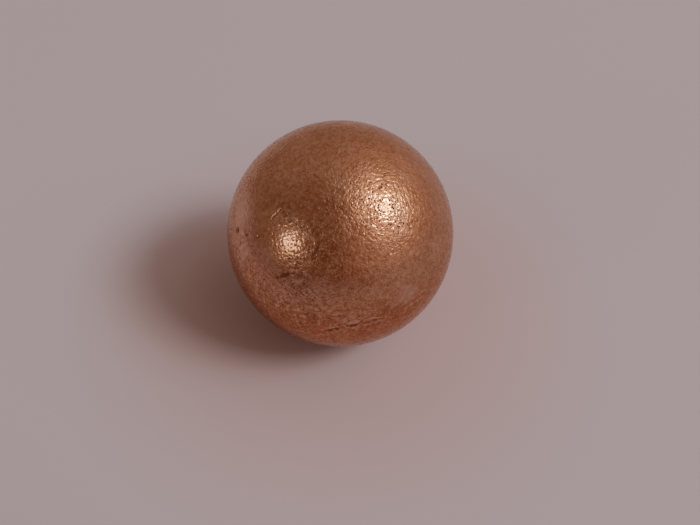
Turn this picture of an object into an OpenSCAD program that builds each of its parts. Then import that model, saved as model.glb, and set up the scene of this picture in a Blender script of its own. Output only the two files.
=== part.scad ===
// Solid copper ball whose skin carries a broken fold line, a gouge, a crescent nick and a row of pits.
// Millimetres, +Z up, with the origin at the centre of the ball.
// Longitude is counted about +Z from +X, and latitude up from the equator, both in degrees.
// A mark's slope is counted from east toward north. The marked side faces -Y.

/* [Ball] */
// Diameter of the ball over its skin
ball_d = 25.4; // [19:0.1:51]

/* [Fold creases] */
// Number of short creases in the broken fold line
fold_count = 3; // [1:1:5]
// Longitude of the first crease's middle
fold_lon = -93; // [-110:1:-75]
// Latitude of the first crease's middle
fold_lat = -4; // [-12:1:8]
// Longitude from one crease to the next
fold_step = 9; // [8:0.5:14]
// Slope of the first crease
fold_slope = 28; // [10:1:40]
// Slope lost from one crease to the next
fold_bend = 17; // [5:1:20]
// Length of each crease
crease_len = 1.6; // [0.8:0.1:2]
// Width of each crease at its middle
crease_w = 0.22; // [0.12:0.02:0.4]
// Depth of each crease's middle below its ends
crease_deep = 0.07; // [0.04:0.01:0.12]

/* [Gouge] */
// Longitude of the gouge's middle
gouge_lon = -118; // [-130:1:-100]
// Latitude of the gouge's middle
gouge_lat = 24; // [10:1:40]
// Slope of the gouge
gouge_slope = 36; // [-90:1:90]
// Length of the gouge
gouge_len = 1.9; // [1:0.1:2.6]
// Width of the gouge at its middle
gouge_w = 0.32; // [0.16:0.02:0.5]
// Depth of the gouge's middle below its ends
gouge_deep = 0.1; // [0.05:0.01:0.16]

/* [Crescent nick] */
// Longitude of the nick's middle
crescent_lon = -139; // [-150:1:-125]
// Latitude of the nick's middle
crescent_lat = 47; // [42:1:60]
// Slope of the nick at its middle
crescent_slope = 79; // [45:1:90]
// Radius that the nick curves around
crescent_r = 5; // [3:0.1:7]
// Angle that the nick sweeps around that radius
crescent_sweep = 22; // [10:1:35]
// Width of the nick at the skin
crescent_w = 0.2; // [0.12:0.02:0.4]
// Depth of the nick below the skin
crescent_deep = 0.06; // [0.04:0.01:0.12]

/* [Pits] */
// Number of pits in the row
pit_count = 3; // [1:1:4]
// Longitude of the first pit
pit_lon = -159; // [-170:1:-152]
// Latitude of the first pit
pit_lat = 24; // [15:1:28]
// Longitude from one pit to the next
pit_step = 8.5; // [6:0.5:9]
// Latitude from one pit to the next
pit_rise = 4.5; // [0:0.5:5]
// Diameter of each pit at its rim
pit_d = 0.6; // [0.3:0.05:0.8]
// Depth of each pit below its rim
pit_deep = 0.08; // [0.04:0.01:0.12]

/* [Hidden] */

ball_r = ball_d / 2;
copper = [0.72, 0.44, 0.32];
// A cutter stands this many times deeper than its mark, so that it comes clear of the skin
clear_of_skin = 3;
quarter_turn = 90;
half_turn = 180;
$fn = 96;

// Distance from the ball's centre to the flat across a mark whose ends lie half_len from its middle
function flat_at(half_len) = sqrt(pow(ball_r, 2) - pow(half_len, 2));

// Radius of the circle that dips by deep between two points half_len either side of its lowest point
function dip_radius(half_len, deep) = (pow(half_len, 2) + pow(deep, 2)) / (2 * deep);

// Slope of crease i, each one flatter than the one before
function crease_slope(i) = fold_slope - i * fold_bend;

// Latitude of crease i, which climbs at the mean slope of the two creases it lies between
function crease_lat(i) =
    i == 0 ? fold_lat
           : crease_lat(i - 1) + fold_step * tan((crease_slope(i - 1) + crease_slope(i)) / 2);

// Turns a mark made around +Z, with its length along +Y, to a place on the skin
module on_skin(lon, lat, slope = 0) {
    rotate([0, quarter_turn - lat, lon])
        rotate([0, 0, slope])
            children();
}

// Wheel with a sharp rim that cuts a boat-shaped groove, deepest at its middle
module groove_cutter(len, w, deep) {
    half_len = len / 2;
    wheel_r = dip_radius(half_len, deep);
    skin_to_floor = ball_r - flat_at(half_len) + deep;
    rim_h = clear_of_skin * skin_to_floor;
    rim_w = clear_of_skin * w / 2;
    translate([0, 0, flat_at(half_len) - deep + wheel_r])
        rotate([0, quarter_turn, 0])
            rotate_extrude()
                polygon([
                    [0, -rim_w],
                    [wheel_r - rim_h, -rim_w],
                    [wheel_r, 0],
                    [wheel_r - rim_h, rim_w],
                    [0, rim_w]
                ]);
}

// Part of a sharp ring that cuts a curved groove of even depth
module arc_cutter(r, sweep, w, deep) {
    skin = flat_at(r);
    top = skin + (clear_of_skin - 1) * deep;
    half_w = clear_of_skin * w / 2;
    rotate([0, asin(r / ball_r), 0])
        rotate([0, 0, half_turn - sweep / 2])
            rotate_extrude(angle = sweep)
                polygon([
                    [r, skin - deep],
                    [r + half_w, top],
                    [r - half_w, top]
                ]);
}

// Ball that presses a round, shallow dent
module dent_cutter(d, deep) {
    dent_r = dip_radius(d / 2, deep);
    translate([0, 0, flat_at(d / 2) - deep + dent_r])
        sphere(r = dent_r);
}

module fold_creases() {
    for (i = [0 : fold_count - 1])
        on_skin(fold_lon + i * fold_step, crease_lat(i), crease_slope(i))
            groove_cutter(crease_len, crease_w, crease_deep);
}

module gouge() {
    on_skin(gouge_lon, gouge_lat, gouge_slope)
        groove_cutter(gouge_len, gouge_w, gouge_deep);
}

module crescent_nick() {
    on_skin(crescent_lon, crescent_lat, crescent_slope)
        arc_cutter(crescent_r, crescent_sweep, crescent_w, crescent_deep);
}

module pits() {
    for (i = [0 : pit_count - 1])
        on_skin(pit_lon + i * pit_step, pit_lat + i * pit_rise)
            dent_cutter(pit_d, pit_deep);
}

module ball() {
    color(copper)
        difference() {
            sphere(d = ball_d);
            fold_creases();
            gouge();
            crescent_nick();
            pits();
        }
}

ball();
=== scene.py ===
"""The copper ball's looks: a grained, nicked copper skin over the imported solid, on a pale floor."""

import logging
import math
from dataclasses import dataclass, field
from enum import Enum

import bmesh
import bpy
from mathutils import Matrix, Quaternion, Vector, noise


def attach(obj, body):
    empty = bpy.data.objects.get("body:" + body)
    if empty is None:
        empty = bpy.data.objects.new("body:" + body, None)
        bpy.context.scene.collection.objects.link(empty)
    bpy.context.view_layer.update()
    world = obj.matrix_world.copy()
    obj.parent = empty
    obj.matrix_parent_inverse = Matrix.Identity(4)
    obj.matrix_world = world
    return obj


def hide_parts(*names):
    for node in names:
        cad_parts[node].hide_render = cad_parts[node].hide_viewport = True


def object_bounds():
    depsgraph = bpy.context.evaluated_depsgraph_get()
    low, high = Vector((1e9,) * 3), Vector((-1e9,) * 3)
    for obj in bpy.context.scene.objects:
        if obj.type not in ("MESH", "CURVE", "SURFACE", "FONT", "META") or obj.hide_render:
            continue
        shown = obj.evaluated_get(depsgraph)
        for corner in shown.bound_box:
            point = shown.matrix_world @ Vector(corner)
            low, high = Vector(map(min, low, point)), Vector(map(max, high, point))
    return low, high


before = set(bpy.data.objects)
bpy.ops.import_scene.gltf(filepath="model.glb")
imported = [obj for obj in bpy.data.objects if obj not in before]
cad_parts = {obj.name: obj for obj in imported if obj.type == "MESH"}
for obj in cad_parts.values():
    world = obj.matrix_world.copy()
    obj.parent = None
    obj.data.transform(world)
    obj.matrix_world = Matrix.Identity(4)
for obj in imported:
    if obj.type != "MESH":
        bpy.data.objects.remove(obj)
CAD_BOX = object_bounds()

LOG = logging.getLogger("copper_ball")
MM = 0.001
MICRON = 0.000001

# The Mix node's colour sockets share their names with its other sockets, so they go by number.
MIX_UNDER = 6
MIX_OVER = 7
MIX_RESULT = 2
# Of the film's curves, the one that bends all three colours together.
ALL_COLOURS = 3

Colour = tuple[float, float, float]
Place = tuple[float, float, float]
Socket = bpy.types.NodeSocket
Source = Socket | float | Colour | Place


class Blend(Enum):
    """How one colour is laid over another in a finish."""

    COVER = "MIX"
    DARKEN = "MULTIPLY"
    ADD = "ADD"


class Sum(Enum):
    """A sum that a finish works out from its patterns."""

    TIMES = "MULTIPLY"
    TIMES_PLUS = "MULTIPLY_ADD"
    LARGER = "MAXIMUM"


class Measure(Enum):
    """A number that is measured from a place."""

    LENGTH = "LENGTH"
    DISTANCE = "DISTANCE"
    ALONG = "DOT_PRODUCT"


@dataclass(frozen=True)
class Ramp:
    """A smooth step: the inputs that it starts and ends at, and what it gives there."""

    start: float
    end: float
    at_start: float = 0.0
    at_end: float = 1.0


@dataclass(frozen=True)
class Lumps:
    """A noise pattern: its lumps' width in metres, how many finer layers it has and how strong they are."""

    size: float
    layers: float
    layer_strength: float


class NodeBench:
    """A node tree with short calls for adding and joining nodes."""

    def __init__(self, tree: bpy.types.NodeTree) -> None:
        """Empties the tree.

        Args:
            tree: the node tree to fill.
        """
        self.tree = tree
        self.tree.nodes.clear()

    def add(self, kind: str, **settings: object) -> bpy.types.Node:
        """Adds a node.

        Args:
            kind: the node's type name, such as ShaderNodeBump.
            settings: properties to set on the node.

        Returns:
            The new node.
        """
        node = self.tree.nodes.new(kind)
        for name, value in settings.items():
            setattr(node, name, value)
        return node

    def feed(self, socket: Socket, source: Source) -> None:
        """Sets an input to a plain value, or links it to another node's output.

        Args:
            socket: the input.
            source: an output socket, a number, a colour or a place.
        """
        if isinstance(source, Socket):
            self.tree.links.new(source, socket)
        elif isinstance(source, tuple) and socket.type == "RGBA":
            socket.default_value = (*source, 1.0)
        else:
            socket.default_value = source

    def work_out(self, kind: Sum, first: Source, second: Source, third: Source = 0.0) -> Socket:
        """Adds a sum.

        Args:
            kind: which sum.
            first: its first number.
            second: its second number.
            third: what TIMES_PLUS adds.

        Returns:
            The result.
        """
        node = self.add("ShaderNodeMath", operation=kind.value)
        for socket, source in zip(node.inputs, (first, second, third)):
            self.feed(socket, source)
        return node.outputs["Value"]

    def measure(self, kind: Measure, place: Socket, other: Place | None = None) -> Socket:
        """Adds a measure of a place.

        Args:
            kind: which measure.
            place: the place.
            other: the place that DISTANCE is measured from, or the direction that ALONG follows.

        Returns:
            The measure.
        """
        node = self.add("ShaderNodeVectorMath", operation=kind.value)
        self.feed(node.inputs[0], place)
        if other is not None:
            self.feed(node.inputs[1], other)
        return node.outputs["Value"]

    def lumps(self, place: Socket, pattern: Lumps) -> Socket:
        """Adds a noise pattern.

        Args:
            place: the coordinates it reads, in metres.
            pattern: the pattern.

        Returns:
            The pattern's value, from 0 to 1.
        """
        node = self.add("ShaderNodeTexNoise")
        self.feed(node.inputs["Vector"], place)
        self.feed(node.inputs["Scale"], 1.0 / pattern.size)
        self.feed(node.inputs["Detail"], pattern.layers)
        self.feed(node.inputs["Roughness"], pattern.layer_strength)
        return node.outputs["Fac"]

    def dots(self, place: Socket, spacing: float) -> Socket:
        """Adds scattered dots.

        Args:
            place: the coordinates they lie in, in metres.
            spacing: the mean distance between dots, in metres.

        Returns:
            The distance to the nearest dot, in spacings.
        """
        node = self.add("ShaderNodeTexVoronoi")
        self.feed(node.inputs["Vector"], place)
        self.feed(node.inputs["Scale"], 1.0 / spacing)
        return node.outputs["Distance"]

    def step(self, value: Socket, ramp: Ramp) -> Socket:
        """Adds a smooth step.

        Args:
            value: the input.
            ramp: the step.

        Returns:
            What the step gives.
        """
        node = self.add("ShaderNodeMapRange", interpolation_type="SMOOTHSTEP")
        self.feed(node.inputs["Value"], value)
        self.feed(node.inputs["From Min"], ramp.start)
        self.feed(node.inputs["From Max"], ramp.end)
        self.feed(node.inputs["To Min"], ramp.at_start)
        self.feed(node.inputs["To Max"], ramp.at_end)
        return node.outputs["Result"]

    def lay(self, blend: Blend, share: Source, under: Source, over: Source) -> Socket:
        """Lays one colour over another.

        Args:
            blend: how the upper colour is laid on.
            share: how much of it shows.
            under: the lower colour.
            over: the upper colour.

        Returns:
            The mixed colour.
        """
        node = self.add("ShaderNodeMix", data_type="RGBA", blend_type=blend.value)
        self.feed(node.inputs["Factor"], share)
        self.feed(node.inputs[MIX_UNDER], under)
        self.feed(node.inputs[MIX_OVER], over)
        return node.outputs[MIX_RESULT]


@dataclass(frozen=True)
class SkinPatterns:
    """The patterns that the copper's colour, roughness and relief are made from.

    The mark is the tone of the skin's marks. The rise is 0 in a pit and 1 beside it, and the last two
    run from 0 to 1 on the way down the ball: they are the masks of the painted shade on the lower half.
    """

    place: Socket
    mark: Socket
    patches: Socket
    flecks: Socket
    rise: Socket
    shaded_below: Socket
    shaded_foot: Socket


@dataclass(frozen=True)
class GrainedCopper:
    """Bare copper with a fine pitted grain, patchily tarnished, darkened below with painted shade, and toned
    at its marks with stains, painted shade and painted light.
    """

    name: str = "grained_copper"
    mark_attribute: str = "mark"

    # Colours
    pit_dark: Colour = (0.33, 0.135, 0.067)
    dull: Colour = (0.44, 0.18, 0.092)
    copper: Colour = (0.55, 0.25, 0.145)
    burnished: Colour = (0.63, 0.31, 0.195)
    edge_tint: Colour = (1.0, 0.865, 0.76)
    tarnish: Colour = (0.88, 0.80, 0.72)
    # Painted shade: the lower half is darkened where it mirrors the shaded floor near its foot
    painted_shade_below: Colour = (0.78, 0.60, 0.44)
    painted_shade_at_foot: Colour = (0.97, 0.91, 0.86)
    speck_dark: Colour = (0.19, 0.074, 0.041)
    # Dark marks: stains in some, painted shade in the creases and in some patches
    stain_and_painted_shade: Colour = (0.24, 0.085, 0.042)
    # Bright marks: burnished metal in some, painted highlights on lips and crests and painted light in some
    # patches
    bright_metal_and_painted_light: Colour = (0.78, 0.46, 0.34)

    # The patterns, the grain and its pits
    patches: Lumps = Lumps(5.0 * MM, 3.0, 0.55)
    mottle: Lumps = Lumps(1.1 * MM, 2.0, 0.5)
    flecks: Lumps = Lumps(0.48 * MM, 2.0, 0.6)
    grain: Lumps = Lumps(0.33 * MM, 1.5, 0.5)
    grain_rise: Ramp = Ramp(0.3, 0.65)
    grain_depth: float = 21.0 * MICRON
    pit_spacing: float = 0.31 * MM
    pit_radius: float = 0.15 * MM
    pit_depth: float = 20.0 * MICRON
    rubbed_level: Ramp = Ramp(0.0, -0.3, 0.0, 0.8)

    # Where the flecks and the tarnish show
    copper_flecks: Ramp = Ramp(0.34, 0.5)
    burnished_flecks: Ramp = Ramp(0.5, 0.66)
    mottle_share: float = 0.6
    tarnished: Ramp = Ramp(0.66, 0.94)

    # Where the painted shade on the lower half falls, by height above the ball's centre
    shade_height: Ramp = Ramp(5.6 * MM, 0.4 * MM)
    foot_shade_height: Ramp = Ramp(1.5 * MM, -2.5 * MM)
    height_waver: float = 1.5 * MM
    shade_around_flecks: Ramp = Ramp(0.68, 0.52)
    even_shade_at_foot: float = 0.6
    # How far the pits are filled in under the painted shade below
    shade_fills_pits: float = 0.6

    # How the marks' tone colours the skin, as stains, painted shade, bright metal and painted light, and the
    # stains' specks
    stain_and_painted_shade_tone: Ramp = Ramp(0.0, 1.0)
    bright_and_painted_light_tone: Ramp = Ramp(0.0, -1.0)
    tone_by_flecks: Ramp = Ramp(0.66, 0.34, 0.2, 1.8)
    speckled_tone: Ramp = Ramp(0.1, 0.26)
    speckled_above: Ramp = Ramp(1.0, 0.0)
    speck_spacing: float = 0.40 * MM
    speck_rim: Ramp = Ramp(0.36, 0.17)

    # Roughness, by the rise out of a pit and by the marks' tone
    smooth: float = 0.11
    rough: float = 0.95
    smooth_from_rise: float = 0.95
    rough_below_rise: float = 0.35
    rough_from_tone: float = 0.5
    rough_full_tone: float = 0.95

    # The place where the relief is worn low
    worn_middle: Place = (-5.7 * MM, -8.3 * MM, 7.7 * MM)
    worn_relief: Ramp = Ramp(2.5 * MM, 5.5 * MM, 0.6, 1.0)

    def material(self) -> bpy.types.Material:
        """Builds the finish.

        Returns:
            The material.
        """
        material = bpy.data.materials.new(self.name)
        material.use_nodes = True
        bench = NodeBench(material.node_tree)
        skin = self.patterns(bench)
        specks = self.specks(bench, skin)
        colour = self.bare_colour(bench, skin)
        colour = self.shaded_below_colour(bench, skin, colour)
        colour = self.marked_colour(bench, skin, colour)
        colour = bench.lay(Blend.COVER, specks, colour, self.speck_dark)
        shader = bench.add("ShaderNodeBsdfPrincipled")
        bench.feed(shader.inputs["Base Color"], colour)
        bench.feed(shader.inputs["Metallic"], 1.0)
        bench.feed(shader.inputs["Specular Tint"], self.edge_tint)
        bench.feed(shader.inputs["Roughness"], self.roughness(bench, skin, specks))
        bench.feed(shader.inputs["Normal"], self.relief(bench, skin))
        output = bench.add("ShaderNodeOutputMaterial")
        bench.feed(output.inputs["Surface"], shader.outputs["BSDF"])
        return material

    def patterns(self, bench: NodeBench) -> SkinPatterns:
        """Adds the patterns that the finish is made from.

        Args:
            bench: the finish's node tree.

        Returns:
            The patterns.
        """
        place = bench.add("ShaderNodeTexCoord").outputs["Object"]
        mark = bench.add("ShaderNodeAttribute", attribute_name=self.mark_attribute).outputs["Fac"]
        patches = bench.lumps(place, self.patches)
        pit_wall = Ramp(0.0, self.pit_radius / self.pit_spacing)
        rise = bench.step(bench.dots(place, self.pit_spacing), pit_wall)
        rise = bench.work_out(Sum.LARGER, rise, bench.step(mark, self.rubbed_level))
        axes = bench.add("ShaderNodeSeparateXYZ")
        bench.feed(axes.inputs["Vector"], place)
        height = bench.work_out(Sum.TIMES_PLUS, patches, self.height_waver, axes.outputs["Z"])
        return SkinPatterns(
            place=place,
            mark=mark,
            patches=patches,
            flecks=bench.lumps(place, self.flecks),
            rise=rise,
            # The masks of the painted shade on the lower half
            shaded_below=bench.step(height, self.shade_height),
            shaded_foot=bench.step(height, self.foot_shade_height),
        )

    def bare_colour(self, bench: NodeBench, skin: SkinPatterns) -> Socket:
        """Adds the flecked copper with its darker pits and tarnished patches.

        Args:
            bench: the finish's node tree.
            skin: the patterns on the copper.

        Returns:
            The colour.
        """
        colour = bench.lay(Blend.COVER, bench.step(skin.flecks, self.copper_flecks), self.dull, self.copper)
        shiny = bench.step(skin.flecks, self.burnished_flecks)
        colour = bench.lay(Blend.COVER, shiny, colour, self.burnished)
        # Under the painted shade of the lower half, the pits are darkened less.
        filled = bench.work_out(Sum.TIMES, skin.shaded_below, self.shade_fills_pits)
        above_pits = bench.work_out(Sum.LARGER, skin.rise, filled)
        colour = bench.lay(Blend.COVER, above_pits, self.pit_dark, colour)
        mottle = bench.lumps(skin.place, self.mottle)
        patchy = bench.work_out(Sum.TIMES_PLUS, mottle, self.mottle_share, skin.patches)
        return bench.lay(Blend.DARKEN, bench.step(patchy, self.tarnished), colour, self.tarnish)

    def shaded_below_colour(self, bench: NodeBench, skin: SkinPatterns, colour: Socket) -> Socket:
        """Paints shade on the lower half, broken up around light flecks at first and more even toward the
        foot.

        Args:
            bench: the finish's node tree.
            skin: the patterns on the copper.
            colour: the bare copper's colour.

        Returns:
            The colour.
        """
        around_flecks = bench.step(skin.flecks, self.shade_around_flecks)
        even = bench.work_out(Sum.TIMES, skin.shaded_foot, self.even_shade_at_foot)
        spread = bench.work_out(Sum.LARGER, around_flecks, even)
        # Painted shade: darker toward the bottom, most evenly at the foot.
        low_shade = bench.work_out(Sum.TIMES, skin.shaded_below, spread)
        colour = bench.lay(Blend.DARKEN, low_shade, colour, self.painted_shade_below)
        return bench.lay(Blend.DARKEN, skin.shaded_foot, colour, self.painted_shade_at_foot)

    def marked_colour(self, bench: NodeBench, skin: SkinPatterns, colour: Socket) -> Socket:
        """Darkens and brightens the marks, the dark ones broken up by the flecks; the darkening is stain and
        painted shade, the brightening bright metal and painted light.

        Args:
            bench: the finish's node tree.
            skin: the patterns on the copper.
            colour: the unmarked copper's colour.

        Returns:
            The colour.
        """
        broken = bench.work_out(Sum.TIMES, skin.mark, bench.step(skin.flecks, self.tone_by_flecks))
        colour = bench.lay(Blend.COVER, bench.step(broken, self.stain_and_painted_shade_tone), colour, self.stain_and_painted_shade)
        return bench.lay(Blend.COVER, bench.step(skin.mark, self.bright_and_painted_light_tone), colour, self.bright_metal_and_painted_light)

    def specks(self, bench: NodeBench, skin: SkinPatterns) -> Socket:
        """Adds the dark specks at the darker marks, above the painted shade of the lower half.

        Args:
            bench: the finish's node tree.
            skin: the patterns on the copper.

        Returns:
            How much of a speck there is, from 0 to 1.
        """
        above = bench.step(skin.shaded_below, self.speckled_above)
        stained = bench.work_out(Sum.TIMES, bench.step(skin.mark, self.speckled_tone), above)
        speck = bench.step(bench.dots(skin.place, self.speck_spacing), self.speck_rim)
        return bench.work_out(Sum.TIMES, stained, speck)

    def roughness(self, bench: NodeBench, skin: SkinPatterns, specks: Socket) -> Socket:
        """Roughens the pits, the specks and the dark marks.

        Args:
            bench: the finish's node tree.
            skin: the patterns on the copper.
            specks: how much of a speck there is.

        Returns:
            The roughness.
        """
        in_pits = Ramp(self.smooth_from_rise, self.rough_below_rise, self.smooth, self.rough)
        in_marks = Ramp(self.rough_from_tone, self.rough_full_tone, 0.0, self.rough)
        in_specks = bench.work_out(Sum.TIMES, specks, self.rough)
        roughness = bench.work_out(Sum.LARGER, bench.step(skin.rise, in_pits), in_specks)
        return bench.work_out(Sum.LARGER, roughness, bench.step(skin.mark, in_marks))

    def relief(self, bench: NodeBench, skin: SkinPatterns) -> Socket:
        """Adds the relief of the pits and the grain, lower where the ball is worn.

        Args:
            bench: the finish's node tree.
            skin: the patterns on the copper.

        Returns:
            The bumped normal.
        """
        from_worn = bench.measure(Measure.DISTANCE, skin.place, self.worn_middle)
        kept = bench.step(from_worn, self.worn_relief)
        pits = bench.add("ShaderNodeBump")
        bench.feed(pits.inputs["Height"], skin.rise)
        bench.feed(pits.inputs["Distance"], bench.work_out(Sum.TIMES, kept, self.pit_depth))
        grain = bench.add("ShaderNodeBump")
        bench.feed(grain.inputs["Height"], bench.step(bench.lumps(skin.place, self.grain), self.grain_rise))
        bench.feed(grain.inputs["Distance"], bench.work_out(Sum.TIMES, kept, self.grain_depth))
        bench.feed(grain.inputs["Normal"], pits.outputs["Normal"])
        return grain.outputs["Normal"]


@dataclass(frozen=True)
class PaleFloorPaint:
    """Plain matt paint for the floor, with a painted reddish bounce light close to the ball and painted
    shade toward the front left.
    """

    name: str = "pale_floor"
    colour: Colour = (0.347, 0.284, 0.288)
    # Painted light: the copper's reddish bounce on the floor close to the ball
    painted_bounce_colour: Colour = (0.347, 0.238, 0.226)
    # Painted shade: the floor is darker toward the front left
    painted_shade_colour: Colour = (0.225, 0.18, 0.187)
    near: Ramp = Ramp(38.0 * MM, 16.0 * MM)
    far: Ramp = Ramp(30.0 * MM, 85.0 * MM)
    painted_shade_toward: Place = (-0.57, -0.82, 0.0)

    def material(self) -> bpy.types.Material:
        """Builds the finish.

        Returns:
            The material.
        """
        material = bpy.data.materials.new(self.name)
        material.use_nodes = True
        bench = NodeBench(material.node_tree)
        place = bench.add("ShaderNodeTexCoord").outputs["Object"]
        # Painted bounce light close to the ball, and painted shade toward the front left
        painted_bounce = bench.step(bench.measure(Measure.LENGTH, place), self.near)
        floor_shade = bench.step(bench.measure(Measure.ALONG, place, self.painted_shade_toward), self.far)
        colour = bench.lay(Blend.COVER, painted_bounce, self.colour, self.painted_bounce_colour)
        colour = bench.lay(Blend.COVER, floor_shade, colour, self.painted_shade_colour)
        shader = bench.add("ShaderNodeBsdfDiffuse")
        bench.feed(shader.inputs["Color"], colour)
        output = bench.add("ShaderNodeOutputMaterial")
        bench.feed(output.inputs["Surface"], shader.outputs["BSDF"])
        return material


def direction(azimuth: float, elevation: float) -> Vector:
    """Gives a direction from the ball's centre.

    Args:
        azimuth: degrees about +Z, counted from +X.
        elevation: degrees above the level.

    Returns:
        The direction, one unit long.
    """
    turn, climb = math.radians(azimuth), math.radians(elevation)
    return Vector((math.cos(climb) * math.cos(turn), math.cos(climb) * math.sin(turn), math.sin(climb)))


@dataclass
class SkinMark:
    """A mark on the skin: its middle, its size, its slope from east toward north, its depth and tone.

    Angles are in degrees, and the tone runs from 1 for dark to -1 for bright.
    """

    lon: float
    lat: float
    length: float
    width: float
    slope: float = 0.0
    deep: float = 0.0
    tone: float = 1.0
    out: Vector = field(init=False)
    along: Vector = field(init=False)
    across: Vector = field(init=False)

    def __post_init__(self) -> None:
        """Works out the mark's directions from its longitude, latitude and slope."""
        self.out = direction(self.lon, self.lat)
        lon, slope = math.radians(self.lon), math.radians(self.slope)
        east = Vector((-math.sin(lon), math.cos(lon), 0.0))
        north = self.out.cross(east)
        self.along = math.cos(slope) * east + math.sin(slope) * north
        self.across = self.along.cross(self.out)

    def reach(self) -> tuple[float, float]:
        """Gives how far the mark reaches from its middle, along itself and across."""
        return self.length / 2.0, self.width / 2.0

    def near(self, point: Vector) -> bool:
        """Tells whether a point of the skin is within the mark's reach.

        Args:
            point: the point, from the ball's centre, in metres.

        Returns:
            Whether it is.
        """
        far_along, far_across = self.reach()
        beside = abs(point.dot(self.along)) < far_along and abs(point.dot(self.across)) < far_across
        return beside and point.dot(self.out) > 0.0

    def press(self, point: Vector) -> tuple[float, float]:
        """Gives the mark's depth at a point of the skin, in metres, and its tone."""
        raise NotImplementedError


@dataclass
class Groove(SkinMark):
    """A ragged groove between two low lips, deepest at its middle, straight or curved, darkened in its
    trough with painted shade and lightened on its lips with painted highlights.

    The lips' place and width are in half-widths of the groove, and their reach is in widths.
    """

    lip: float = 0.0
    curve_radius: float = math.inf
    trough_power: float = 1.5
    waver: float = 0.13 * MM
    waver_size: float = 0.6 * MM
    ragged: float = 0.45
    ragged_size: float = 0.3 * MM
    lip_place: float = 1.9
    lip_width: float = 0.8
    lip_reach: float = 2.0
    # How bright the lips' painted highlight is, and the lip height that gives it in full
    lip_highlight_tone: float = 0.5
    lip_for_full_highlight: float = 8.0 * MICRON

    def reach(self) -> tuple[float, float]:
        """Gives how far the groove reaches, lips and all."""
        return self.length / 2.0, self.lip_reach * self.width

    def press(self, point: Vector) -> tuple[float, float]:
        """Gives the groove's depth and tone.

        Args:
            point: a point of the skin, from the ball's centre, in metres.

        Returns:
            The depth there, in metres, less than 0 on a lip, and the tone: painted shade in the trough,
            painted highlight on the lips.
        """
        run = point.dot(self.along)
        end = max(0.0, 1.0 - (2.0 * run / self.length) ** 2)
        if end == 0.0:
            return 0.0, 0.0
        side = point.dot(self.across) - run * run / (2.0 * self.curve_radius)
        side += self.waver * noise.noise(point / self.waver_size)
        raggedness = 1.0 + self.ragged * noise.noise(point / self.ragged_size)
        place = abs(side) / (self.width / 2.0 * math.sqrt(end) * raggedness)
        trough = max(0.0, 1.0 - place * place) ** self.trough_power * end
        # Painted shade in the trough
        shade = math.exp(-place * place) * end
        lip = math.exp(-(((place - self.lip_place) / self.lip_width) ** 2)) * end
        # Painted highlight on the lips
        lip_highlight = self.lip_highlight_tone * min(1.0, self.lip / self.lip_for_full_highlight)
        return self.deep * trough - self.lip * lip, self.tone * shade - lip_highlight * lip


@dataclass
class OvalMark(SkinMark):
    """An oval mark that fades from its middle to a ragged rim."""

    ragged: float = 0.5
    ragged_size: float = 0.35 * MM

    def reach(self) -> tuple[float, float]:
        """Gives how far the mark reaches where its rim is most ragged."""
        spread = (1.0 + self.ragged) / 2.0
        return spread * self.length, spread * self.width

    def strength(self, point: Vector) -> float:
        """Gives how strong the mark is at a point of the skin.

        Args:
            point: the point, from the ball's centre, in metres.

        Returns:
            The strength, from 1 at the mark's middle to 0 at its rim.
        """
        far = 2.0 * math.hypot(point.dot(self.along) / self.length, point.dot(self.across) / self.width)
        far /= 1.0 + self.ragged * noise.noise(point / self.ragged_size)
        return max(0.0, 1.0 - far * far)


@dataclass
class Pit(OvalMark):
    """A shallow pit, or a speck."""

    def press(self, point: Vector) -> tuple[float, float]:
        """Gives the pit's depth and tone.

        Args:
            point: a point of the skin, from the ball's centre, in metres.

        Returns:
            The depth there, in metres, and the tone.
        """
        strength = self.strength(point)
        return self.deep * strength, self.tone * strength


@dataclass
class Blotch(OvalMark):
    """A soft-edged patch of darker or paler skin, with no depth."""

    ragged_size: float = 1.8 * MM

    def press(self, point: Vector) -> tuple[float, float]:
        """Gives a depth of 0 and the blotch's tone at a point of the skin."""
        return 0.0, self.tone * self.strength(point) ** 2


@dataclass
class Crumple(OvalMark):
    """A patch of crumpled skin whose fine creases wander along it, strongest at its middle, darkened in its
    creases with painted shade and lightened between them with a painted highlight.
    """

    ragged: float = 0.0
    ripple_length: float = 0.9 * MM
    ripple_width: float = 0.42 * MM
    crease_share: float = 0.1
    # The painted highlight between the creases
    crest_painted_highlight: float = 0.32

    def press(self, point: Vector) -> tuple[float, float]:
        """Gives the creases' depth and tone.

        Args:
            point: a point of the skin, from the ball's centre, in metres.

        Returns:
            The depth there, in metres, and the tone: painted shade in the creases and, less than 0, a
                painted highlight between them.
        """
        run = point.dot(self.along) / self.ripple_length
        side = point.dot(self.across) / self.ripple_width
        ripple = noise.noise(Vector((run, side, 0.0)))
        crease = math.exp(-((ripple / self.crease_share) ** 2))
        strength = self.strength(point)
        # Painted shade in the creases, painted highlight between them
        return self.deep * crease * strength, (self.tone * crease - self.crest_painted_highlight) * strength


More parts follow.
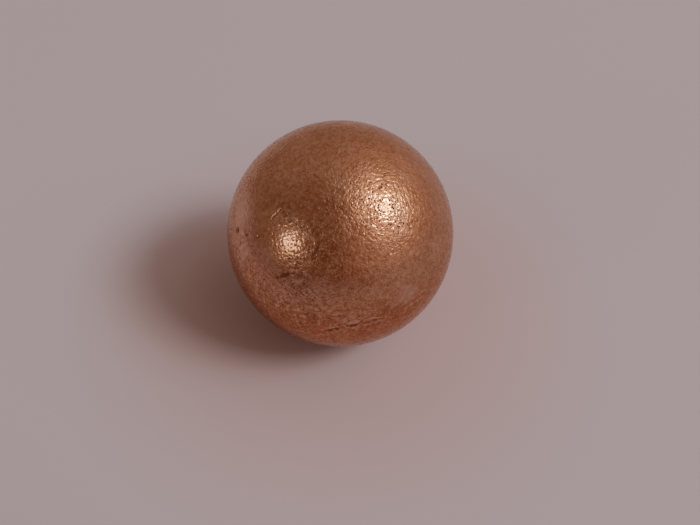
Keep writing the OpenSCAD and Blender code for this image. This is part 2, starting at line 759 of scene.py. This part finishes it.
@dataclass
class Ball:
    """The copper ball: one closed skin, waved by its grain, with its creases, nicks, pits and stains, and
    with patches of painted light and shade.

    The skin is a cube with a number of cells along each edge, rounded off and cut finer at the marks. Each
    layer of its waves is finer and weaker than the one before.
    """

    radius: float
    finish: GrainedCopper = field(default_factory=GrainedCopper)
    cells: int = 100
    mark_cuts: int = 3
    wave_size: float = 0.9 * MM
    wave_depth: float = 14.0 * MICRON
    wave_layers: int = 2
    wave_layer_step: float = 2.0
    wave_layer_fall: float = 1.0
    skin_allowance: float = 12.0 * MICRON
    name: str = "ball_skin"

    def marks(self) -> list[SkinMark]:
        """Lists all the marks that can be told apart on the skin."""
        return self.fold_line() + self.left_cuts() + self.left_pits() + self.stray_nicks() + self.stains_and_painted_light()

    def fold_line(self) -> list[SkinMark]:
        """Lists the fold line low on the front.

        Returns:
            The crumpled skin, the three main creases from left to right and the three fainter ones.
        """
        return [
            Crumple(-90.0, 4.5, 9.0 * MM, 4.2 * MM, slope=5.0, deep=0.025 * MM, tone=0.9),
            Groove(-93.0, -4.0, 2.6 * MM, 0.46 * MM, slope=26.0, deep=0.10 * MM, lip=16.0 * MICRON),
            Groove(-84.0, -0.8, 2.8 * MM, 0.44 * MM, slope=9.0, deep=0.09 * MM, tone=0.85,
                   lip=18.0 * MICRON, curve_radius=-1.3 * MM),
            Groove(-74.5, 0.2, 2.6 * MM, 0.36 * MM, slope=4.0, deep=0.05 * MM, tone=0.8,
                   lip=12.0 * MICRON),
            Groove(-75.5, 1.2, 1.6 * MM, 0.30 * MM, slope=-8.0, deep=0.03 * MM, tone=0.6,
                   lip=8.0 * MICRON),
            Groove(-110.0, -3.4, 1.3 * MM, 0.34 * MM, slope=13.0, deep=0.03 * MM, tone=0.7,
                   lip=8.0 * MICRON),
            Groove(-64.0, 2.2, 1.5 * MM, 0.55 * MM, slope=10.0, deep=0.02 * MM, tone=0.5),
        ]

    def left_cuts(self) -> list[SkinMark]:
        """Lists the cuts at the left.

        Returns:
            The dark gouge, the pit at its end and the crescent nick above.
        """
        return [
            Groove(-118.0, 24.0, 2.4 * MM, 0.52 * MM, slope=36.0, deep=0.10 * MM, tone=1.5),
            Pit(-123.0, 21.0, 0.6 * MM, 0.6 * MM, deep=0.06 * MM, tone=1.3),
            Groove(-139.0, 47.0, 2.0 * MM, 0.24 * MM, slope=79.0, deep=0.06 * MM, tone=0.3,
                   lip=6.0 * MICRON, curve_radius=5.0 * MM, waver=0.05 * MM),
        ]

    def left_pits(self) -> list[SkinMark]:
        """Lists the row of pits near the left edge.

        Returns:
            The three pits, and the bright flake between two of them.
        """
        return [
            Pit(-159.0, 24.0, 0.8 * MM, 0.8 * MM, deep=0.08 * MM, tone=1.1),
            Pit(-150.5, 28.5, 0.7 * MM, 0.7 * MM, deep=0.08 * MM, tone=0.9),
            Pit(-142.0, 33.0, 0.6 * MM, 0.6 * MM, deep=0.07 * MM, tone=0.9),
            Pit(-153.5, 26.5, 0.7 * MM, 0.4 * MM, tone=-0.7),
        ]

    def stray_nicks(self) -> list[SkinMark]:
        """Lists the bright marks that stand alone.

        Returns:
            The flaked edge at the left, the scratch at the right and three specks.
        """
        return [
            Groove(-148.0, 20.0, 3.4 * MM, 0.5 * MM, slope=80.0, tone=-0.3,
                   lip=8.0 * MICRON, curve_radius=6.0 * MM),
            Groove(-33.0, 25.0, 2.8 * MM, 0.3 * MM, slope=-38.0, deep=0.01 * MM, tone=-0.4),
            Pit(-97.0, 36.5, 0.3 * MM, 0.3 * MM, deep=0.03 * MM, tone=-0.8),
            Pit(-61.0, 34.7, 0.35 * MM, 0.35 * MM, deep=0.03 * MM, tone=-0.8),
            Pit(7.0, 60.0, 0.3 * MM, 0.3 * MM, deep=0.03 * MM, tone=-0.8),
        ]

    def stains_and_painted_light(self) -> list[SkinMark]:
        """Lists the blotches.

        Returns:
            Five darker patches and four paler ones. The first two are partly stains and partly painted shade
            that deepens the dark reflection near the middle, the next two are painted shade where the ball
            mirrors the shaded floor low at the front left, and the fifth is a stain. Of the paler ones the
            first and third are painted light, the second is rubbed bright and the last is a paler patch.
        """
        return [
            # These two are partly stains with dark specks and partly painted shade in the dark reflection
            # near the middle
            Blotch(-106.0, 41.5, 13.0 * MM, 8.5 * MM, slope=88.0, tone=0.40),
            Blotch(-134.0, 51.0, 6.5 * MM, 6.0 * MM, tone=0.24),
            # These two are painted shade where the ball mirrors the shaded floor low at the front left
            Blotch(-113.0, 12.0, 15.0 * MM, 12.0 * MM, slope=-63.0, tone=0.29),
            Blotch(-101.0, 3.0, 6.0 * MM, 5.0 * MM, tone=0.15),
            Blotch(-52.0, 55.0, 11.0 * MM, 11.0 * MM, tone=0.32),
            # Painted light, offsetting the darker floor mirrored here
            Blotch(-131.0, 28.0, 5.0 * MM, 5.0 * MM, tone=-0.28),
            Blotch(-121.5, 40.0, 4.2 * MM, 4.2 * MM, tone=-0.36),
            # Painted light that brightens the mirrored left edge
            Blotch(-162.0, 33.0, 8.0 * MM, 6.5 * MM, slope=80.0, tone=-0.5),
            Blotch(-56.0, 10.0, 6.0 * MM, 5.0 * MM, tone=-0.35),
        ]

    def build(self) -> bpy.types.Object:
        """Builds and dresses the ball.

        Returns:
            The ball's object, at the origin.
        """
        shape = bmesh.new()
        bmesh.ops.create_cube(shape, size=2.0)
        bmesh.ops.subdivide_edges(shape, edges=shape.edges[:], cuts=self.cells - 1, use_grid_fill=True)
        self.round_off(shape)
        marks = self.marks()
        self.refine(shape, marks)
        self.press_in(shape, marks)
        bmesh.ops.recalc_face_normals(shape, faces=shape.faces[:])
        for face in shape.faces:
            face.smooth = True
        mesh = bpy.data.meshes.new(self.name)
        shape.to_mesh(mesh)
        shape.free()
        mesh.materials.append(self.finish.material())
        ball = bpy.data.objects.new(self.name, mesh)
        bpy.context.scene.collection.objects.link(ball)
        return ball

    def round_off(self, shape: bmesh.types.BMesh) -> None:
        """Rounds a finely cut cube into a sphere with even cells.

        Args:
            shape: the cube, 2 units wide.
        """
        for vert in shape.verts:
            even = Vector(math.tan(part * math.pi / 4.0) for part in vert.co)
            vert.co = even.normalized() * self.radius

    def refine(self, shape: bmesh.types.BMesh, marks: list[SkinMark]) -> None:
        """Cuts the skin finer around the marks, apart from the blotches.

        Args:
            shape: the sphere.
            marks: the marks to cut finer around.
        """
        sharp = [mark for mark in marks if not isinstance(mark, Blotch)]
        close = {vert for vert in shape.verts if any(mark.near(vert.co) for mark in sharp)}
        edges = [edge for edge in shape.edges if any(vert in close for vert in edge.verts)]
        bmesh.ops.subdivide_edges(shape, edges=edges, cuts=self.mark_cuts, use_grid_fill=True)
        for vert in shape.verts:
            vert.co = vert.co.normalized() * self.radius

    def wave(self, point: Vector) -> float:
        """Gives how far the grain's waves sink the skin.

        Args:
            point: a point of the skin, from the ball's centre, in metres.

        Returns:
            The depth there, in metres.
        """
        place = point / self.wave_size
        swell = noise.fractal(place, self.wave_layer_fall, self.wave_layer_step, self.wave_layers)
        return self.wave_depth * min(1.0, max(0.0, 0.5 + 0.5 * swell))

    def press_in(self, shape: bmesh.types.BMesh, marks: list[SkinMark]) -> None:
        """Presses the grain's waves and the marks into the skin, and notes the marks' tone.

        Args:
            shape: the sphere.
            marks: the marks to press in.
        """
        note = shape.verts.layers.float.new(self.finish.mark_attribute)
        for vert in shape.verts:
            outward = vert.co.normalized()
            cut, tone = 0.0, 0.0
            for mark in marks:
                if mark.near(vert.co):
                    deeper, darker = mark.press(vert.co)
                    cut += deeper
                    tone += darker
            vert[note] = min(1.0, max(-1.0, tone))
            sunk = self.skin_allowance + self.wave(vert.co) + cut
            vert.co -= outward * max(0.0, sunk)


@dataclass(frozen=True)
class Glow:
    """A soft glow around the ball, full within its inner angle and gone at its outer angle, in degrees."""

    name: str
    azimuth: float
    elevation: float
    inner: float
    outer: float
    colour: Colour

    def share(self, bench: NodeBench, toward: Socket) -> Socket:
        """Adds the glow's strength by direction.

        Args:
            bench: the soft light's node tree.
            toward: the direction looked in.

        Returns:
            The strength, from 0 to 1.
        """
        middle = tuple(direction(self.azimuth, self.elevation))
        fade = Ramp(math.cos(math.radians(self.outer)), math.cos(math.radians(self.inner)))
        return bench.step(bench.measure(Measure.ALONG, toward, middle), fade)


@dataclass(frozen=True)
class Lamp:
    """A round lamp aimed at the ball, with its width in degrees, mirrored in the ball or not."""

    name: str
    azimuth: float
    elevation: float
    width: float
    radiance: float
    colour: Colour
    distance: float = 2.5
    mirrored: bool = True

    def build(self) -> bpy.types.Object:
        """Hangs the lamp.

        Returns:
            The lamp's object.
        """
        toward = direction(self.azimuth, self.elevation)
        data = bpy.data.lights.new(self.name, "AREA")
        data.shape = "DISK"
        data.size = 2.0 * self.distance * math.tan(math.radians(self.width) / 2.0)
        disc_area = math.pi * (data.size / 2.0) ** 2
        data.energy = self.radiance * math.pi * disc_area
        data.color = self.colour
        lamp = bpy.data.objects.new(self.name, data)
        lamp.location = toward * self.distance
        lamp.rotation_mode = "QUATERNION"
        lamp.rotation_quaternion = toward.to_track_quat("Z", "Y")
        lamp.visible_glossy = self.mirrored
        bpy.context.scene.collection.objects.link(lamp)
        return lamp


@dataclass
class Studio:
    """The floor, the lamps, the soft light from all sides, the camera and its film."""

    ball_radius: float
    floor_paint: PaleFloorPaint = field(default_factory=PaleFloorPaint)
    floor_width: float = 6.0
    view_elevation: float = 48.0
    lens: float = 45.0
    sensor: float = 36.0
    nearest: float = 1.0 * MM
    farthest: float = 50.0
    image_size: tuple[int, int] = (700, 525)
    ball_pixel: tuple[float, float] = (340.4, 233.9)
    ball_pixel_radius: float = 113.3
    film_speed: float = 1.15
    film_white: float = 4.5
    film_stops: int = 24
    dim_light: Colour = (0.235, 0.125, 0.072)
    glows: tuple[Glow, ...] = (
        Glow("behind", azimuth=90.0, elevation=36.0, inner=10.0, outer=60.0, colour=(0.18, 0.16, 0.155)),
        Glow("front", azimuth=-74.0, elevation=25.0, inner=3.0, outer=27.0, colour=(0.09, 0.063, 0.058)),
        Glow("left", azimuth=180.0, elevation=8.0, inner=10.0, outer=80.0, colour=(0.07, 0.08, 0.075)),
        Glow("right", azimuth=0.0, elevation=15.0, inner=10.0, outer=90.0, colour=(0.42, 0.275, 0.255)),
        Glow("by_small", azimuth=217.0, elevation=22.0, inner=6.0, outer=28.0, colour=(0.36, 0.33, 0.32)),
        Glow("by_key", azimuth=-7.0, elevation=48.0, inner=8.0, outer=36.0, colour=(1.8, 1.5, 1.42)),
        Glow("around_key", azimuth=-3.0, elevation=47.5, inner=20.0, outer=76.0, colour=(0.15, 0.16, 0.15)),
    )
    lamps: tuple[Lamp, ...] = (
        Lamp("key", azimuth=-8.2, elevation=46.7, width=15.5, radiance=22.0, colour=(0.53, 0.78, 1.0)),
        Lamp("small", azimuth=215.5, elevation=22.0, width=16.0, radiance=3.4, colour=(0.95, 0.93, 1.0)),
        Lamp("shadow", azimuth=-23.0, elevation=46.5, width=17.0, radiance=34.0, colour=(1.0, 1.0, 1.0),
             mirrored=False),
    )

    def build(self) -> None:
        """Builds the studio."""
        self.lay_floor()
        for lamp in self.lamps:
            lamp.build()
        self.light_all_sides()
        self.set_camera()
        self.set_film()

    def lay_floor(self) -> None:
        """Lays the floor under the ball."""
        shape = bmesh.new()
        bmesh.ops.create_grid(shape, x_segments=1, y_segments=1, size=self.floor_width / 2.0)
        bmesh.ops.translate(shape, verts=shape.verts[:], vec=(0.0, 0.0, CAD_BOX[0].z))
        mesh = bpy.data.meshes.new("floor")
        shape.to_mesh(mesh)
        shape.free()
        mesh.materials.append(self.floor_paint.material())
        floor = bpy.data.objects.new("floor", mesh)
        bpy.context.scene.collection.objects.link(floor)

    def light_all_sides(self) -> None:
        """Lights the ball from all sides with a dim, even light and its soft glows."""
        world = bpy.data.worlds.new("soft_light")
        bpy.context.scene.world = world
        world.use_nodes = True
        bench = NodeBench(world.node_tree)
        toward = bench.add("ShaderNodeTexCoord").outputs["Generated"]
        light = self.dim_light
        for glow in self.glows:
            light = bench.lay(Blend.ADD, glow.share(bench, toward), light, glow.colour)
        background = bench.add("ShaderNodeBackground")
        bench.feed(background.inputs["Color"], light)
        output = bench.add("ShaderNodeOutputWorld")
        bench.feed(output.inputs["Surface"], background.outputs["Background"])

    def toward_camera(self) -> Vector:
        """Gives the direction from the ball to the camera."""
        elevation = math.radians(self.view_elevation)
        return Vector((0.0, -math.cos(elevation), math.sin(elevation)))

    def set_camera(self) -> None:
        """Sets the camera so that the ball has its place and size in the picture."""
        pixels_per_unit = self.lens / self.sensor * self.image_size[0]
        distance = self.ball_radius / math.sin(math.atan(self.ball_pixel_radius / pixels_per_unit))
        data = bpy.data.cameras.new("camera")
        data.lens = self.lens
        data.sensor_width = self.sensor
        data.clip_start = self.nearest
        data.clip_end = self.farthest
        camera = bpy.data.objects.new("camera", data)
        back = self.toward_camera()
        camera.location = back * distance
        right_px = self.ball_pixel[0] - self.image_size[0] / 2.0
        down_px = self.ball_pixel[1] - self.image_size[1] / 2.0
        swing = Quaternion((0.0, 1.0, 0.0), math.atan(right_px / pixels_per_unit))
        nod = Quaternion((1.0, 0.0, 0.0), math.atan(down_px / pixels_per_unit))
        camera.rotation_mode = "QUATERNION"
        camera.rotation_quaternion = (-back).to_track_quat("-Z", "Y") @ swing @ nod
        bpy.context.scene.collection.objects.link(camera)
        bpy.context.scene.camera = camera

    def set_film(self) -> None:
        """Gives the picture a film's soft shoulder, so that bright light fades to white."""
        view = bpy.context.scene.view_settings
        view.view_transform = "Standard"
        view.use_curve_mapping = True
        mapping = view.curve_mapping
        brightest = self.film_white / self.film_speed
        mapping.clip_max_x = brightest
        shoulder = mapping.curves[ALL_COLOURS]
        shoulder.points[-1].location = (brightest, 1.0)
        for stop in range(1, self.film_stops):
            light = brightest * (stop / self.film_stops) ** 2
            shoulder.points.new(light, self.film_response(light))
        mapping.update()

    def film_response(self, light: float) -> float:
        """Gives how bright the film shows an amount of light, reaching full white at film_white.

        Args:
            light: the light that reaches the film.

        Returns:
            The brightness it shows, from 0 to 1.
        """
        exposed = light * self.film_speed
        return exposed * (1.0 + exposed / self.film_white ** 2) / (1.0 + exposed)


def main() -> None:
    """Builds the ball and the studio, and reports each piece."""
    logging.basicConfig(level=logging.INFO, format="%(name)s: %(message)s")
    low, high = CAD_BOX
    radius = min(high - low) / 2.0
    skin = Ball(radius).build()
    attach(skin, "root")
    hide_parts("ball")
    LOG.info("%s: %d faces", skin.name, len(skin.data.polygons))
    Studio(radius).build()
    LOG.info("studio: floor, lamps, soft light, camera and film")


if __name__ == "__main__":
    main()
